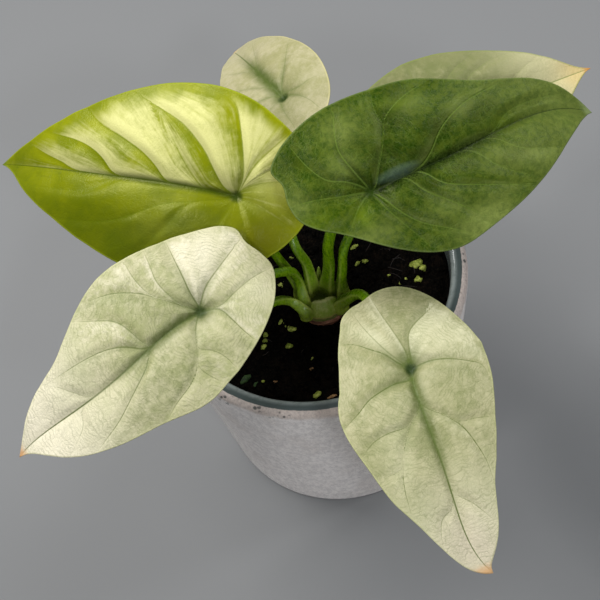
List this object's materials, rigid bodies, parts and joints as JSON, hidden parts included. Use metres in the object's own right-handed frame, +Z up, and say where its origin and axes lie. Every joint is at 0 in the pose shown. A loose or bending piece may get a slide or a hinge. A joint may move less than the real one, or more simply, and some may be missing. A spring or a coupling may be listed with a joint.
{
  "type": "potted alocasia",
  "caption": "Jewel alocasia with broad arching leaf blades on slender petioles, growing from soil in a round tapered stoneware cover pot with a glazed rim.",
  "frame": {"origin": "centre of the pot's flat underside, on the surface it stands on", "axes": "+Z up along the pot's axis; -Y towards the side the picture was taken from; +X to the right as seen from there"},
  "size_m": [0.2579, 0.2721, 0.2108],
  "materials": {
    "stoneware": "matte",
    "potting_soil": "matte",
    "rhizome_bark": "matte",
    "leaf_left_blade": "satin",
    "leaf_front_left_blade": "satin",
    "leaf_front_blade": "satin",
    "leaf_right_blade": "satin",
    "leaf_back_right_blade": "satin",
    "leaf_back_blade": "satin",
    "petiole": "satin",
    "sheath": "satin"
  },
  "bodies": {
    "root": {"pot": "stoneware", "soil": "potting_soil", "rhizome": "rhizome_bark", "leaf_left": "leaf_left_blade", "leaf_front_left": "leaf_front_left_blade", "leaf_front": "leaf_front_blade", "leaf_right": "leaf_right_blade", "leaf_back_right": "leaf_back_right_blade", "leaf_back": "leaf_back_blade", "petiole_left": "petiole", "petiole_front_left": "petiole", "petiole_front": "petiole", "petiole_right": "petiole", "petiole_back_right": "petiole", "petiole_back": "petiole", "petiole_spent": "petiole", "sheath_tip": "sheath", "sheath_front": "sheath"}
  },
  "joints": []
}
